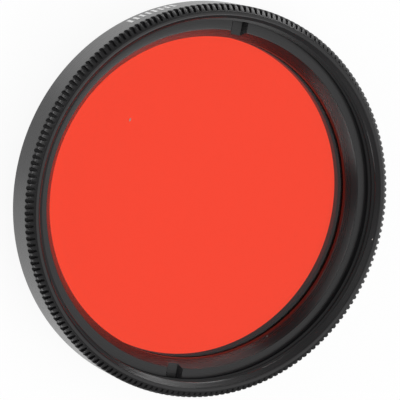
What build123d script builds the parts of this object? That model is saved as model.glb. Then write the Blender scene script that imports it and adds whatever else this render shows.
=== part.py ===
from build123d import *
import os
from math import pi

# Screw-in colour filter for a small camera lens: a turned, black anodised ring with a knurled
# front rim, a disc of red glass that drops in from the front, and a threaded ring that holds it.
# Millimetres. Z is the optical axis, up towards the front, and Z = 0 is the rear end of the ring.
# The threads are M37 x 0.75 and are drawn as plain cylinders.

# The thread that the filter is made for: every radius is worked out from it
thread_diameter = 37.0
thread_pitch = 0.75
thread_depth_ratio = 0.467

# The ring's outside, from its rear end to its front rim
rim_overhang = 1.25
rear_thread_length = 2.0
rim_height = 4.3
rear_thread_bevel = 0.35
relief_width = 0.40
relief_depth = 0.45
relief_floor = 0.10
relief_flank_margin = 0.10
shoulder_bevel = 0.12
front_chamfer_width = 0.75
front_chamfer_height = 0.60

# The straight knurl on the front rim: V grooves that end in a short run-out below the chamfer
knurl_pitch = 0.62
knurl_depth = 0.62
knurl_length = 0.70
knurl_runout = 0.35
knurl_crest = 0.22
cutter_overshoot = 0.02

# The ring's inside, from the rear ledge to the lead-in at the front
ledge_width = 0.95
ledge_thickness = 0.80
pocket_clearance = 0.15
pocket_step = 0.15
lead_in_width = 0.57
lead_in_depth = 0.50

# The glass disc, whose edge lies this far inside the thread's radius
glass_inset = 1.25
glass_thickness = 1.80
glass_bevel = 0.15

# The retaining ring, which grips the rim of the glass, and its two spanner slots
retainer_height = 1.75
retainer_clearance = 0.05
retainer_grip = 0.95
retainer_land_height = 0.50
retainer_cone_width = 0.83
slot_count = 2
slot_width = 1.0
slot_depth = 0.60

# Radii
thread_radius = thread_diameter / 2
body_radius = thread_radius + rim_overhang
front_bore_radius = thread_radius - thread_depth_ratio * thread_pitch
glass_radius = thread_radius - glass_inset
pocket_radius = glass_radius + pocket_clearance
aperture_radius = glass_radius - ledge_width
retainer_radius = thread_radius - retainer_clearance
retainer_bore_radius = glass_radius - retainer_grip
retainer_face_radius = retainer_bore_radius + retainer_cone_width
relief_radius = thread_radius - relief_depth
knurl_root_radius = body_radius - knurl_depth

# Heights
shoulder_z = rear_thread_length
relief_z = shoulder_z - relief_width
front_z = shoulder_z + rim_height
glass_bottom_z = ledge_thickness
glass_top_z = glass_bottom_z + glass_thickness
retainer_top_z = glass_top_z + retainer_height
pocket_top_z = glass_top_z - pocket_step
knurl_full_z = front_z - knurl_length
knurl_end_z = knurl_full_z - knurl_runout


def radial_face(points):
    """Flat face in the XZ plane from its (radius, height) corners."""
    return make_face(Polyline(*[(radius, 0, height) for radius, height in points], close=True))


def turned(points):
    """Solid of revolution about Z from the (radius, height) corners of its section."""
    return revolve(radial_face(points), Axis.Z)


def knurl_cutters():
    """One V cutter for each groove: a prism along Z that ends below in a rising point."""
    groove_count = round(2 * pi * body_radius / knurl_pitch)
    outer_radius = body_radius + cutter_overshoot
    flank_slope = (knurl_pitch - knurl_crest) / 2 / knurl_depth
    half_width = (outer_radius - knurl_root_radius) * flank_slope
    section = make_face(
        Polyline(
            (knurl_root_radius, 0, knurl_full_z),
            (outer_radius, half_width, knurl_full_z),
            (outer_radius, -half_width, knurl_full_z),
            close=True,
        )
    )
    groove = extrude(section, knurl_length + cutter_overshoot, dir=(0, 0, 1))
    runout = loft([section, Vertex(outer_radius, 0, knurl_end_z)])
    cutter = groove + runout
    return [Rot(0, 0, 360 * index / groove_count) * cutter for index in range(groove_count)]


def make_filter_frame():
    """The main ring: rear thread, shoulder, smooth wall, knurled rim, front bore, glass pocket."""
    section = [
        (aperture_radius, 0),
        (thread_radius - rear_thread_bevel, 0),
        (thread_radius, rear_thread_bevel),
        (thread_radius, relief_z),
        (relief_radius, relief_z),
        (relief_radius, relief_z + relief_floor),
        (thread_radius + relief_flank_margin, shoulder_z),
        (body_radius - shoulder_bevel, shoulder_z),
        (body_radius, shoulder_z + shoulder_bevel),
        (body_radius, front_z - front_chamfer_height),
        (body_radius - front_chamfer_width, front_z),
        (front_bore_radius + lead_in_width, front_z),
        (front_bore_radius, front_z - lead_in_depth),
        (front_bore_radius, retainer_top_z),
        (thread_radius, retainer_top_z),
        (thread_radius, pocket_top_z),
        (pocket_radius, pocket_top_z),
        (pocket_radius, glass_bottom_z),
        (aperture_radius, glass_bottom_z),
    ]
    return turned(section) - knurl_cutters()


def make_retaining_ring():
    """The threaded ring that clamps the glass: flat face, cone, short land and two slots."""
    ring = turned(
        [
            (retainer_bore_radius, glass_top_z),
            (retainer_radius, glass_top_z),
            (retainer_radius, retainer_top_z),
            (retainer_face_radius, retainer_top_z),
            (retainer_bore_radius, glass_top_z + retainer_land_height),
        ]
    )
    # Each slot runs straight across the ring, from its cone to its outer wall, on a flat floor
    slot_section = radial_face(
        [
            (retainer_bore_radius, retainer_top_z - slot_depth),
            (thread_radius, retainer_top_z - slot_depth),
            (thread_radius, retainer_top_z + slot_depth),
            (retainer_bore_radius, retainer_top_z + slot_depth),
        ]
    )
    slot = extrude(slot_section, slot_width / 2, both=True)
    for index in range(slot_count):
        ring -= Rot(0, 0, 90 + 360 * index / slot_count) * slot
    return ring


def make_colour_glass():
    """The flat glass disc, with its two edges ground to a small bevel."""
    return turned(
        [
            (0, glass_bottom_z),
            (glass_radius - glass_bevel, glass_bottom_z),
            (glass_radius, glass_bottom_z + glass_bevel),
            (glass_radius, glass_top_z - glass_bevel),
            (glass_radius - glass_bevel, glass_top_z),
            (0, glass_top_z),
        ]
    )


parts = {
    "filter_frame": make_filter_frame(),
    "retaining_ring": make_retaining_ring(),
    "colour_glass": make_colour_glass(),
}

os.makedirs("parts", exist_ok=True)
for name, solid in parts.items():
    export_step(solid, f"parts/{name}.step")
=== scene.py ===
import random
from math import ceil, cos, pi, radians, sin

import bmesh
import bpy
from mathutils import Matrix, Vector


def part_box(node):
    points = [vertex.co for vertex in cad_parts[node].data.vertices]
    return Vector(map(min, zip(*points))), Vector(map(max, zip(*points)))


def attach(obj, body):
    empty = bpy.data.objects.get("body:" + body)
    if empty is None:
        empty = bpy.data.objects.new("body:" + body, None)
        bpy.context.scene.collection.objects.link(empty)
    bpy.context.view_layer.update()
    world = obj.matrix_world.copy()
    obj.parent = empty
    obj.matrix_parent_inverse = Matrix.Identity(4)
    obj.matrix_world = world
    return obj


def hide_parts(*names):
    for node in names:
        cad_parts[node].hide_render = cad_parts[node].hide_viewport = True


# A red screw-in colour filter, front side up on a pale floor. The solids give every size; this
# script cuts the fine threads and breaks the edges, and finishes the metal and the glass.
# Lengths are in millimetres until a point is placed, and the scene is in metres.

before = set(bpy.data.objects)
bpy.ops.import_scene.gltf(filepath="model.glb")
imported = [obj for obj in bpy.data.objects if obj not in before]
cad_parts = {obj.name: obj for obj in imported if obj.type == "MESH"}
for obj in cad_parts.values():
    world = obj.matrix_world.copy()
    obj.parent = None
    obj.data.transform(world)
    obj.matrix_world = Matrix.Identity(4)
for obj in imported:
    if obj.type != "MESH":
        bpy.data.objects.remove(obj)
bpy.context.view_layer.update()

mm = 0.001

# Sizes that the solids give
frame_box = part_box("filter_frame")
ring_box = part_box("retaining_ring")
glass_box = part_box("colour_glass")
body_radius = frame_box[1].x / mm
front_z = frame_box[1].z / mm
glass_bottom_z = glass_box[0].z / mm
glass_top_z = glass_box[1].z / mm
retainer_top_z = ring_box[1].z / mm

# The M37 x 0.75 thread, inside the front and outside the rear
thread_radius = 18.50
thread_pitch = 0.75
front_thread_depth = 0.35
rear_thread_depth = 0.45
thread_crest_half = 0.15
thread_root_start = 0.42

# The ring's outside
shoulder_z = 2.0
rear_bevel = 0.35
relief_z = 1.60
relief_floor_z = 1.70
relief_flank_radius = 18.60
shoulder_bevel = 0.12
chamfer_width = 0.75
chamfer_height = 0.60
chamfer_top_radius = body_radius - chamfer_width
rim_rounding = 0.24

# The knurl on the front rim
tooth_count = 200
tooth_pitch = 2 * pi * body_radius / tooth_count
knurl_depth = 0.62
knurl_full_z = front_z - 0.70
knurl_runout = 0.35
knurl_crest = 0.22
knurl_root_half = 0.10
groove_half = (tooth_pitch - knurl_crest) / 2
knurl_start_z = knurl_full_z - knurl_runout - 0.15

# The ring's inside
aperture_radius = 16.30
pocket_radius = 17.40
pocket_top_z = glass_top_z - 0.15
lead_in_radius = thread_radius - front_thread_depth + 0.57
lead_in_depth = 0.50

# The retaining ring
retainer_clearance = 0.05
retainer_bore_radius = 16.30
retainer_face_radius = 17.13
retainer_land_z = glass_top_z + 0.50
slot_width = 1.0
slot_depth = 0.60

# Broken edges, and the air between the glass and what it lies against
edge_break = 0.04
seat_gap = 0.01

# The printed mark on the smooth wall: a plain row of bars along the axis
bar_count = 8
bar_first_angle = 125.0
bar_pitch = 0.68
bar_width = 0.32
bar_low_z = 2.75
bar_high_z = 4.05
bar_proud = 0.012
bar_steps = 4

# How finely the round surfaces are divided
coarse_count = 400
rounding_steps = 4
# Arc lengths from the middle of a groove, over one tooth, at which the knurl is sampled
tooth_offsets = [
    0,
    knurl_root_half,
    (knurl_root_half + groove_half) / 2,
    groove_half,
    tooth_pitch / 2,
    -groove_half,
    -(knurl_root_half + groove_half) / 2,
    -knurl_root_half,
]

# The floor: how much of its white is glow, and how strong the glow is where the metal reflects it, by
# azimuth in degrees round the filter: painted lit sides and a painted shadow on the paper
floor_half = 2.0
floor_drop = 0.02
glow_share = 0.85
glow_strength = 1.07
glow_painted_light_and_shade = [
    (-180, 0.70),
    (-160, 1.00),
    (-120, 1.07),
    (-100, 0.55),
    (-78, 0.05),
    (-40, 0.05),
    (-12, 0.50),
    (30, 0.70),
    (60, 1.07),
    (125, 1.07),
    (150, 0.85),
    (165, 0.64),
    (180, 0.70),
]

# The sky: a wide soft light round one direction, over a weaker even light
sky_azimuth = 355
sky_elevation = 64
sky_inner_angle = 24
sky_outer_angle = 60
sky_strength = 0.78
sky_ambient = 0.20

# Small marks: name, centre, turn in degrees, length, width and height, seed, kind
specks = [
    ("dust_on_glass", (-9.07, 6.66, glass_top_z), 75, 0.34, 0.14, 0.08, 3, "dust"),
    ("chip_far", (-9.83, 12.97, glass_top_z + 0.03), 127, 0.30, 0.22, 0.16, 5, "chip"),
    ("chip_near", (9.80, -13.20, retainer_land_z + 0.10), 36, 0.50, 0.24, 0.20, 7, "chip"),
    ("chip_near_grain", (10.15, -12.90, retainer_land_z + 0.22), 20, 0.12, 0.10, 0.08, 9, "dust"),
    ("scuff_in_bore", (-12.35, -13.20, retainer_top_z + 0.02), 60, 0.34, 0.12, 0.06, 11, "dust"),
    # A small pale grain on the front rim
    ("scuff_on_rim", (18.50, -1.26, front_z - 0.14), 90, 0.20, 0.12, 0.08, 13, "dust"),
]

# Softboxes: name, azimuth and elevation in degrees, distance, width and height in metres, radiance
softboxes = [
    ("far_low", 75, 7, 0.8, 0.84, 0.18, 3.5),
    ("left", 165, 20, 0.8, 0.70, 0.20, 2.6),
    ("near_low", 237, 7, 0.8, 0.65, 0.18, 3.2),
    ("right", 318, 36, 0.8, 0.60, 0.30, 1.4),
]

# Finishes
metal_color = (0.011, 0.0105, 0.0115)
metal_roughness = 0.28
metal_roughness_spread = 0.05
metal_ior = 1.6
metal_haze = 0.10
metal_haze_roughness = 0.3
dye_spread = 0.2
lathe_mark_scale = 9000
lathe_mark_height = 0.01
lathe_mark_strength = 0.25
dye_grain_scale = 5000
paint_grain_scale = 6000
paint_roughness = 0.5
glass_color = (0.99, 0.042, 0.007)
glass_ior = 1.5
paper_color = (0.9, 0.9, 0.9)

# Meshes: points nearer than this are welded, and edges sharper than this stay crisp
weld_distance = 0.0002
crisp_angle = 28
grain_crisp_angle = 60

# The photograph's camera: the tilt from the optical axis, the side it stands on, its roll, and
# where the middle of the ring's front face lies in a picture of 400 x 400 pixels
photo_width = 400
camera_tilt = radians(26.67)
camera_azimuth = radians(170.0)
camera_roll = radians(10.70)
camera_distance = 247.5
focal_pixels = 2502.4
front_centre_pixel = (215.15, 203.70)
sensor_width = 36.0


def place(angle, radius, height):
    """Point in metres from its angle, and its radius and height in millimetres."""
    return Vector((radius * cos(angle), radius * sin(angle), height)) * mm


def clamp(value, low, high):
    return max(low, min(high, value))


def add_columns(mesh, columns, closed=True):
    """Quads between neighbouring columns of points; closed joins the last column to the first."""
    made = [[mesh.verts.new(point) for point in column] for column in columns]
    following = made[1:] + made[:1] if closed else made[1:]
    for left, right in zip(made, following):
        for row in range(len(left) - 1):
            mesh.faces.new((left[row], right[row], right[row + 1], left[row + 1]))


def add_turned(mesh, profile, count=coarse_count):
    """A surface of revolution. A profile corner's radius may be a function of the angle."""
    columns = []
    for index in range(count):
        angle = 2 * pi * index / count
        column = []
        for radius, height in profile:
            column.append(place(angle, radius(angle) if callable(radius) else radius, height))
        columns.append(column)
    add_columns(mesh, columns)


def add_step(mesh, fine, coarse):
    """Joins a finely divided circle to a coarse one, one many-sided face to each coarse side."""
    ratio = len(fine) // len(coarse)
    fine_verts = [mesh.verts.new(point) for point in fine]
    coarse_verts = [mesh.verts.new(point) for point in coarse]
    for index in range(len(coarse)):
        arc = [fine_verts[(index * ratio + k) % len(fine)] for k in range(ratio + 1)]
        mesh.faces.new(arc + [coarse_verts[(index + 1) % len(coarse)], coarse_verts[index]])


def thread_phases():
    """Where along one pitch the thread's surface is sampled, its four edges among them."""
    edges = [thread_crest_half, thread_root_start, 1 - thread_root_start, 1 - thread_crest_half]
    stops = [0.0] + edges + [1.0]
    shares = [2, 3, 2, 3, 2]
    phases = []
    for start, end, share in zip(stops, stops[1:], shares):
        phases += [start + (end - start) * k / share for k in range(share)]
    return phases


def thread_cut(angle, height):
    """Depth of the groove at a point, from 0 at the crest to 1 at the root."""
    phase = height / thread_pitch - angle / (2 * pi)
    from_crest = abs((phase + 0.5) % 1 - 0.5)
    return clamp((from_crest - thread_crest_half) / (thread_root_start - thread_crest_half), 0, 1)


def add_thread(mesh, low_z, high_z, radius_at):
    """A helical surface between two heights, whose rows of points follow the thread."""
    phases = thread_phases()
    first_turn = int(low_z / thread_pitch) - 2
    last_turn = ceil(high_z / thread_pitch) + 1
    columns = []
    for index in range(coarse_count + 1):
        angle = 2 * pi * index / coarse_count
        column = []
        for turn in range(first_turn, last_turn):
            for phase in phases:
                height = (turn + phase + index / coarse_count) * thread_pitch
                height = clamp(height, low_z, high_z)
                column.append(place(angle, radius_at(angle, height), height))
        columns.append(column)
    add_columns(mesh, columns, closed=False)


def make_piece(name, mesh, sharp_angle=crisp_angle):
    """Welds the patches into one closed surface and gives it smooth faces with crisp edges."""
    bmesh.ops.remove_doubles(mesh, verts=mesh.verts, dist=weld_distance * mm)
    bmesh.ops.dissolve_degenerate(mesh, edges=mesh.edges, dist=weld_distance * mm)
    bmesh.ops.recalc_face_normals(mesh, faces=mesh.faces)
    data = bpy.data.meshes.new(name)
    mesh.to_mesh(data)
    mesh.free()
    for polygon in data.polygons:
        polygon.use_smooth = True
    data.set_sharp_from_angle(angle=radians(sharp_angle))
    piece = bpy.data.objects.new(name, data)
    bpy.context.scene.collection.objects.link(piece)
    return piece


def front_thread_radius(angle, height):
    """The bore's surface: the internal thread, opened by the lead-in cone at the front."""
    crest = thread_radius - front_thread_depth
    threaded = crest + front_thread_depth * thread_cut(angle, height)
    lead_in = crest + (lead_in_radius - crest) * (height - front_z + lead_in_depth) / lead_in_depth
    return max(threaded, lead_in)


def rear_thread_radius(angle, height):
    """The rear thread's surface, cut down by the bevel at the ring's rear end."""
    threaded = thread_radius - rear_thread_depth * thread_cut(angle, height)
    return min(threaded, thread_radius - rear_bevel + height)


def retainer_thread_radius(angle, height):
    """The retaining ring's own thread, a clearance inside the bore's, with its top edge broken."""
    crest = thread_radius - front_thread_depth
    threaded = crest + front_thread_depth * thread_cut(angle, height) - retainer_clearance
    broken_edge = thread_radius - 2 * retainer_clearance - 2 * edge_break + retainer_top_z - height
    return min(threaded, broken_edge)


def rim_corner():
    """The rounded edge from the smooth wall up to the chamfer, as (radius, height) points."""
    corner = Vector((body_radius, front_z - chamfer_height))
    slope = Vector((-chamfer_width, chamfer_height)).normalized()
    wall_end = corner - Vector((0, rim_rounding))
    chamfer_end = corner + slope * rim_rounding
    points = []
    for step in range(rounding_steps + 1):
        share = step / rounding_steps
        lower = wall_end.lerp(corner, share)
        upper = corner.lerp(chamfer_end, share)
        points.append(lower.lerp(upper, share))
    return points


def groove_radius(offset):
    """The groove's radius at an arc length from its middle: a flat root, two straight flanks."""
    from_root = max(abs(offset), knurl_root_half) - knurl_root_half
    flank_share = from_root / (groove_half - knurl_root_half)
    return min(body_radius, body_radius - knurl_depth * (1 - flank_share))


def height_on_rim(profile, radius):
    """The height at which the rim's profile passes a radius."""
    for lower, upper in zip(profile, profile[1:]):
        if upper.x <= radius < lower.x:
            return lower.y + (upper.y - lower.y) * (lower.x - radius) / (lower.x - upper.x)
    return profile[0].y


def knurl_column(angle, offset):
    """One column of the rim, from the smooth wall over the groove or tooth to the front face."""
    profile = rim_corner()
    edge_slope = chamfer_height / chamfer_width
    profile.append(Vector((chamfer_top_radius + edge_break, front_z - edge_break * edge_slope)))
    profile.append(Vector((chamfer_top_radius - edge_break / 2, front_z)))
    profile.append(Vector((chamfer_top_radius - edge_break, front_z)))
    root = groove_radius(offset)
    column = [Vector((body_radius, knurl_start_z))]
    if root < body_radius:
        depth_share = (body_radius - root) / knurl_depth
        column.append(Vector((body_radius, knurl_full_z - knurl_runout * depth_share)))
        column.append(Vector((root, knurl_full_z)))
        column.append(Vector((root, height_on_rim(profile, root))))
        for point in profile[3:]:
            column.append(point if point.x < root else column[3])
    else:
        column += profile
    return [place(angle, point.x, point.y) for point in column]


def make_filter_frame():
    """The main ring with its knurl and both threads, in place of its plainer solid."""
    mesh = bmesh.new()
    rear_end_radius = aperture_radius + edge_break
    add_turned(mesh, [(rear_end_radius, 0), (lambda angle: rear_thread_radius(angle, 0), 0)])
    add_thread(mesh, 0, relief_z, rear_thread_radius)
    root_radius = thread_radius - rear_thread_depth
    wall_top_z = knurl_start_z - edge_break
    add_turned(
        mesh,
        [
            (lambda angle: rear_thread_radius(angle, relief_z), relief_z),
            (root_radius, relief_z),
            (root_radius, relief_floor_z),
            (relief_flank_radius, shoulder_z),
            (body_radius - shoulder_bevel, shoulder_z),
            (body_radius, shoulder_z + shoulder_bevel),
            (body_radius, wall_top_z),
        ],
    )
    columns = []
    for tooth in range(tooth_count):
        for offset in tooth_offsets:
            arc = tooth_pitch * tooth + offset % tooth_pitch
            columns.append(knurl_column(arc / body_radius, offset))
    add_columns(mesh, columns)
    circle = [2 * pi * index / coarse_count for index in range(coarse_count)]
    wall = [place(angle, body_radius, wall_top_z) for angle in circle]
    face_radius = chamfer_top_radius - 2 * edge_break
    face = [place(angle, face_radius, front_z) for angle in circle]
    add_step(mesh, [column[0] for column in columns], wall)
    add_step(mesh, [column[-1] for column in columns], face)
    bore_top_z = front_z - edge_break
    add_turned(
        mesh,
        [
            (face_radius, front_z),
            (lead_in_radius + edge_break, front_z),
            (lambda angle: front_thread_radius(angle, bore_top_z), bore_top_z),
        ],
    )
    add_thread(mesh, pocket_top_z, bore_top_z, front_thread_radius)
    ledge_z = glass_bottom_z - seat_gap
    add_turned(
        mesh,
        [
            (lambda angle: front_thread_radius(angle, pocket_top_z), pocket_top_z),
            (pocket_radius, pocket_top_z),
            (pocket_radius, ledge_z),
            (aperture_radius + edge_break, ledge_z),
            (aperture_radius, ledge_z - edge_break),
            (aperture_radius, edge_break),
            (rear_end_radius, 0),
        ],
    )
    return make_piece("knurled_filter_frame", mesh)


def make_retaining_ring():
    """The threaded ring over the glass, before its slots are cut."""
    mesh = bmesh.new()
    bottom_z = glass_top_z + seat_gap
    add_thread(mesh, bottom_z, retainer_top_z, retainer_thread_radius)
    cone_width = retainer_face_radius - retainer_bore_radius
    cone_slope = (retainer_top_z - retainer_land_z) / cone_width
    add_turned(
        mesh,
        [
            (lambda angle: retainer_thread_radius(angle, retainer_top_z), retainer_top_z),
            (retainer_face_radius + edge_break, retainer_top_z),
            (retainer_face_radius - edge_break / 2, retainer_top_z - edge_break * cone_slope / 2),
            (retainer_bore_radius + edge_break, retainer_land_z + edge_break * cone_slope),
            (retainer_bore_radius, retainer_land_z - edge_break),
            (retainer_bore_radius, bottom_z + edge_break),
            (retainer_bore_radius + edge_break, bottom_z),
            (lambda angle: retainer_thread_radius(angle, bottom_z), bottom_z),
        ],
    )
    return make_piece("slotted_retaining_ring", mesh)


def make_slot_cutter(side):
    """A straight cutter with a flat floor, flared at the top so that the slot's edges are broken."""
    mesh = bmesh.new()
    above = slot_width
    for y in (retainer_bore_radius - slot_width, thread_radius + slot_width):
        for half, height in (
            (slot_width / 2, retainer_top_z - slot_depth),
            (slot_width / 2, retainer_top_z - edge_break),
            (slot_width / 2 + edge_break + above, retainer_top_z + above),
        ):
            for x in (-half, half):
                mesh.verts.new(Vector((x, side * y, height)) * mm)
    bmesh.ops.convex_hull(mesh, input=mesh.verts)
    return make_piece("slot_cutter", mesh)


def cut(piece, cutter):
    """Takes the cutter's shape out of the piece, and removes the cutter."""
    modifier = piece.modifiers.new("cut", "BOOLEAN")
    modifier.operation = "DIFFERENCE"
    modifier.solver = "EXACT"
    modifier.object = cutter
    bpy.context.view_layer.objects.active = piece
    bpy.ops.object.modifier_apply(modifier=modifier.name)
    bpy.data.objects.remove(cutter)


def make_printed_bars():
    """White bars of paint that follow the wall's curve, each a thin closed shell."""
    mesh = bmesh.new()
    half = bar_width / 2 / body_radius
    for index in range(bar_count):
        middle = radians(bar_first_angle) - index * bar_pitch / body_radius
        columns = []
        for step in range(bar_steps + 1):
            angle = middle - half + 2 * half * step / bar_steps
            corners = [
                (body_radius + bar_proud, bar_low_z),
                (body_radius + bar_proud, bar_high_z),
                (body_radius - bar_proud, bar_high_z),
                (body_radius - bar_proud, bar_low_z),
            ]
            points = [place(angle, radius, height) for radius, height in corners]
            columns.append([mesh.verts.new(point) for point in points])
        for left, right in zip(columns, columns[1:]):
            for k in range(4):
                mesh.faces.new((left[k], right[k], right[(k + 1) % 4], left[(k + 1) % 4]))
        mesh.faces.new(columns[0])
        mesh.faces.new(columns[-1])
    return make_piece("printed_bars", mesh)


def make_speck(name, centre, turn, length, width, height, seed):
    """A small irregular grain, longest along its turned X axis."""
    chance = random.Random(seed)
    mesh = bmesh.new()
    bmesh.ops.create_icosphere(mesh, subdivisions=2, radius=0.5)
    for vert in mesh.verts:
        lump = vert.co * chance.uniform(0.75, 1.15)
        stretched = Vector((lump.x * length, lump.y * width, lump.z * height))
        stretched.rotate(Matrix.Rotation(radians(turn), 3, "Z"))
        vert.co = (stretched + Vector(centre)) * mm
    return make_piece(name, mesh, grain_crisp_angle)


def new_material(name):
    """A new node material, with its nodes, its links and its surface shader."""
    material = bpy.data.materials.new(name)
    material.use_nodes = True
    shader = material.node_tree.nodes["Principled BSDF"]
    return material, material.node_tree.nodes, material.node_tree.links, shader


def turning_marks(nodes, links):
    """Fine rings left by the lathe: noise that varies with radius and height but not with angle."""
    coordinates = nodes.new("ShaderNodeTexCoord")
    split = nodes.new("ShaderNodeSeparateXYZ")
    links.new(coordinates.outputs["Object"], split.inputs[0])
    flat = nodes.new("ShaderNodeCombineXYZ")
    links.new(split.outputs["X"], flat.inputs["X"])
    links.new(split.outputs["Y"], flat.inputs["Y"])
    radius = nodes.new("ShaderNodeVectorMath")
    radius.operation = "LENGTH"
    links.new(flat.outputs[0], radius.inputs[0])
    section = nodes.new("ShaderNodeCombineXYZ")
    links.new(radius.outputs["Value"], section.inputs["X"])
    links.new(split.outputs["Z"], section.inputs["Z"])
    noise = nodes.new("ShaderNodeTexNoise")
    noise.inputs["Scale"].default_value = lathe_mark_scale
    noise.inputs["Detail"].default_value = 3
    links.new(section.outputs[0], noise.inputs["Vector"])
    return coordinates, noise


def anodised_metal(name):
    """Black anodised aluminium: satin, with lathe marks and a fine uneven dye."""
    material, nodes, links, shader = new_material(name)
    shader.inputs["Metallic"].default_value = 0.0
    shader.inputs["IOR"].default_value = metal_ior
    shader.inputs["Sheen Weight"].default_value = metal_haze
    shader.inputs["Sheen Roughness"].default_value = metal_haze_roughness
    coordinates, marks = turning_marks(nodes, links)
    grain = nodes.new("ShaderNodeTexNoise")
    grain.inputs["Scale"].default_value = dye_grain_scale
    grain.inputs["Detail"].default_value = 2
    links.new(coordinates.outputs["Object"], grain.inputs["Vector"])
    dye = nodes.new("ShaderNodeMix")
    dye.data_type = "RGBA"
    dye.inputs["A"].default_value = (*[channel * (1 - dye_spread) for channel in metal_color], 1)
    dye.inputs["B"].default_value = (*[channel * (1 + dye_spread) for channel in metal_color], 1)
    links.new(grain.outputs["Fac"], dye.inputs["Factor"])
    links.new(dye.outputs["Result"], shader.inputs["Base Color"])
    gloss = nodes.new("ShaderNodeMapRange")
    gloss.inputs["To Min"].default_value = metal_roughness - metal_roughness_spread
    gloss.inputs["To Max"].default_value = metal_roughness + metal_roughness_spread
    links.new(marks.outputs["Fac"], gloss.inputs["Value"])
    links.new(gloss.outputs["Result"], shader.inputs["Roughness"])
    bump = nodes.new("ShaderNodeBump")
    bump.inputs["Strength"].default_value = lathe_mark_strength
    bump.inputs["Distance"].default_value = lathe_mark_height * mm
    links.new(marks.outputs["Fac"], bump.inputs["Height"])
    links.new(bump.outputs["Normal"], shader.inputs["Normal"])
    return material


def speckled_paint(name, dark, light):
    """A matt coat whose tone varies a little from grain to grain."""
    material, nodes, links, shader = new_material(name)
    coordinates = nodes.new("ShaderNodeTexCoord")
    grain = nodes.new("ShaderNodeTexNoise")
    grain.inputs["Scale"].default_value = paint_grain_scale
    links.new(coordinates.outputs["Object"], grain.inputs["Vector"])
    tone = nodes.new("ShaderNodeMix")
    tone.data_type = "RGBA"
    tone.inputs["A"].default_value = (*dark, 1)
    tone.inputs["B"].default_value = (*light, 1)
    links.new(grain.outputs["Fac"], tone.inputs["Factor"])
    links.new(tone.outputs["Result"], shader.inputs["Base Color"])
    shader.inputs["Roughness"].default_value = paint_roughness
    return material


def coloured_glass():
    """Polished glass, red through its depth."""
    material, _, _, shader = new_material("red_filter_glass")
    shader.inputs["Base Color"].default_value = (*glass_color, 1)
    shader.inputs["Transmission Weight"].default_value = 1.0
    shader.inputs["Roughness"].default_value = 0.0
    shader.inputs["IOR"].default_value = glass_ior
    return material


def math_node(nodes, links, operation, first, second):
    """A Math node over two values, each a socket or a plain number."""
    node = nodes.new("ShaderNodeMath")
    node.operation = operation
    for socket, value in zip(node.inputs, (first, second)):
        if isinstance(value, (int, float)):
            socket.default_value = value
        else:
            links.new(value, socket)
    return node.outputs[0]


def white_rays(nodes, links, path):
    """1 for camera, glossy and transmission rays, but not for red light that the metal throws back."""
    camera, glossy = path.outputs["Is Camera Ray"], path.outputs["Is Glossy Ray"]
    bounced = math_node(nodes, links, "MINIMUM", path.outputs["Glossy Depth"], 1)
    through = math_node(nodes, links, "SUBTRACT", path.outputs["Is Transmission Ray"], bounced)
    direct = math_node(nodes, links, "MAXIMUM", camera, glossy)
    return math_node(nodes, links, "MAXIMUM", direct, through)


def glow_level_with_painted_shade(nodes, links, path):
    """The glow's strength: even to the camera, and in reflections a painted light and painted shadow
    by azimuth round the filter.
    """
    coordinates = nodes.new("ShaderNodeTexCoord")
    azimuth = nodes.new("ShaderNodeTexGradient")
    azimuth.gradient_type = "RADIAL"
    links.new(coordinates.outputs["Object"], azimuth.inputs[0])
    # Painted light and shade: the glow seen in reflections rises and falls by azimuth round the filter
    ramp = nodes.new("ShaderNodeFloatCurve")
    curve = ramp.mapping.curves[0]
    ramp.mapping.use_clip = False
    for degrees, strength in glow_painted_light_and_shade[1:-1]:
        curve.points.new(0.5 + degrees / 360, strength)
    curve.points[0].location = (0, glow_painted_light_and_shade[0][1])
    curve.points[-1].location = (1, glow_painted_light_and_shade[-1][1])
    for point in curve.points:
        point.handle_type = "AUTO_CLAMPED"
    ramp.mapping.update()
    links.new(azimuth.outputs["Fac"], ramp.inputs["Value"])
    choice = nodes.new("ShaderNodeMix")
    choice.inputs["A"].default_value = glow_strength
    glossy, through = path.outputs["Is Glossy Ray"], path.outputs["Is Transmission Ray"]
    reflected = math_node(nodes, links, "SUBTRACT", glossy, through)
    links.new(reflected, choice.inputs["Factor"])
    links.new(ramp.outputs["Value"], choice.inputs["B"])
    return choice.outputs["Result"]


def make_floor():
    """A pale floor that shows white to the camera, painted light and a painted shadow round the filter
    in reflections, and keeps a faint shadow.
    """
    data = bpy.data.meshes.new("floor")
    half = floor_half
    drop = -floor_drop * mm
    data.from_pydata(
        [(-half, -half, drop), (half, -half, drop), (half, half, drop), (-half, half, drop)],
        [],
        [(0, 1, 2, 3)],
    )
    floor = bpy.data.objects.new("floor", data)
    bpy.context.scene.collection.objects.link(floor)
    material = bpy.data.materials.new("floor_paper")
    material.use_nodes = True
    nodes, links = material.node_tree.nodes, material.node_tree.links
    nodes.clear()
    output = nodes.new("ShaderNodeOutputMaterial")
    paper = nodes.new("ShaderNodeBsdfDiffuse")
    paper.inputs["Color"].default_value = (*paper_color, 1)
    glow = nodes.new("ShaderNodeEmission")
    glow.inputs["Color"].default_value = (1, 1, 1, 1)
    path = nodes.new("ShaderNodeLightPath")
    links.new(glow_level_with_painted_shade(nodes, links, path), glow.inputs["Strength"])
    mix = nodes.new("ShaderNodeMixShader")
    share = math_node(nodes, links, "MULTIPLY", white_rays(nodes, links, path), glow_share)
    links.new(share, mix.inputs["Fac"])
    links.new(paper.outputs[0], mix.inputs[1])
    links.new(glow.outputs[0], mix.inputs[2])
    links.new(mix.outputs[0], output.inputs["Surface"])
    floor.data.materials.append(material)


def direction_to(azimuth, elevation):
    """Unit vector from its azimuth and elevation in degrees."""
    turn, rise = radians(azimuth), radians(elevation)
    return Vector((cos(rise) * cos(turn), cos(rise) * sin(turn), sin(rise)))


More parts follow.
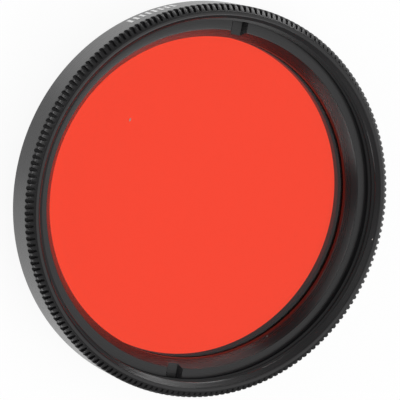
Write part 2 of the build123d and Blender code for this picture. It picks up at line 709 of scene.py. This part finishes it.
def make_world():
    """White studio light: strongest round one direction overhead, weaker all round."""
    world = bpy.data.worlds.new("studio")
    bpy.context.scene.world = world
    world.use_nodes = True
    nodes, links = world.node_tree.nodes, world.node_tree.links
    background = nodes["Background"]
    background.inputs["Color"].default_value = (1, 1, 1, 1)
    direction = nodes.new("ShaderNodeTexCoord")
    toward = nodes.new("ShaderNodeVectorMath")
    toward.operation = "DOT_PRODUCT"
    toward.inputs[1].default_value = direction_to(sky_azimuth, sky_elevation)
    links.new(direction.outputs["Generated"], toward.inputs[0])
    fall = nodes.new("ShaderNodeMapRange")
    fall.interpolation_type = "SMOOTHSTEP"
    fall.inputs["From Min"].default_value = cos(radians(sky_outer_angle))
    fall.inputs["From Max"].default_value = cos(radians(sky_inner_angle))
    fall.inputs["To Min"].default_value = sky_ambient
    fall.inputs["To Max"].default_value = sky_strength
    links.new(toward.outputs["Value"], fall.inputs["Value"])
    links.new(fall.outputs["Result"], background.inputs["Strength"])


def add_softbox(name, azimuth, elevation, distance, width, height, radiance):
    """A soft area light that faces the filter; angles in degrees, sizes in metres."""
    data = bpy.data.lights.new(name, "AREA")
    data.shape = "RECTANGLE"
    data.size = width
    data.size_y = height
    data.energy = 4 * width * height * radiance
    softbox = bpy.data.objects.new(name, data)
    bpy.context.scene.collection.objects.link(softbox)
    away = direction_to(azimuth, elevation)
    softbox.location = away * distance
    softbox.rotation_euler = away.to_track_quat("Z", "Y").to_euler()


def make_camera():
    """A long lens, aimed so that the ring's front face lies where the photograph has it."""
    back = Vector(
        (
            sin(camera_tilt) * cos(camera_azimuth),
            sin(camera_tilt) * sin(camera_azimuth),
            cos(camera_tilt),
        )
    )
    level_up = (Vector((0, 1, 0)) - back * back.y).normalized()
    up = cos(camera_roll) * level_up - sin(camera_roll) * level_up.cross(back)
    right = up.cross(back)
    across = (front_centre_pixel[0] - photo_width / 2) / focal_pixels
    down = (front_centre_pixel[1] - photo_width / 2) / focal_pixels
    target = Vector((0, 0, front_z))
    location = (target + camera_distance * (back - across * right + down * up)) * mm
    data = bpy.data.cameras.new("camera")
    data.sensor_width = sensor_width
    data.lens = focal_pixels * sensor_width / photo_width
    camera = bpy.data.objects.new("camera", data)
    bpy.context.scene.collection.objects.link(camera)
    turn = Matrix((right, up, back)).transposed()
    camera.matrix_world = Matrix.Translation(location) @ turn.to_4x4()
    data.clip_start = 0.01
    data.clip_end = 10.0
    bpy.context.scene.camera = camera


filter_frame = make_filter_frame()
retaining_ring = make_retaining_ring()
for side in (1, -1):
    cut(retaining_ring, make_slot_cutter(side))
for polygon in retaining_ring.data.polygons:
    polygon.use_smooth = True
retaining_ring.data.set_sharp_from_angle(angle=radians(crisp_angle))

filter_frame.data.materials.append(anodised_metal("anodised_frame"))
retaining_ring.data.materials.append(anodised_metal("anodised_ring"))
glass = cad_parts["colour_glass"]
glass.data.materials.clear()
glass.data.materials.append(coloured_glass())

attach(filter_frame, "root")
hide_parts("filter_frame")
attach(retaining_ring, "root")
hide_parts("retaining_ring")

white_paint = speckled_paint("white_print", (0.85, 0.85, 0.85), (0.95, 0.95, 0.95))
bars = make_printed_bars()
bars.data.materials.append(white_paint)
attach(bars, "root")

# Small marks of use: a grain of dust on the glass, two chips at the retaining ring's inner edge
# and a light scuff in the corner of the bore; and a small pale grain on the front rim
dust = speckled_paint("pale_dust", (0.45, 0.42, 0.40), (0.75, 0.72, 0.70))
dark_chip = speckled_paint("dark_chip", (0.006, 0.005, 0.006), (0.02, 0.018, 0.02))
for *shape, kind in specks:
    speck = make_speck(*shape)
    speck.data.materials.append(dust if kind == "dust" else dark_chip)
    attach(speck, "root")

make_floor()
make_world()
for softbox in softboxes:
    add_softbox(*softbox)
make_camera()
bpy.context.scene.view_settings.view_transform = "Standard"
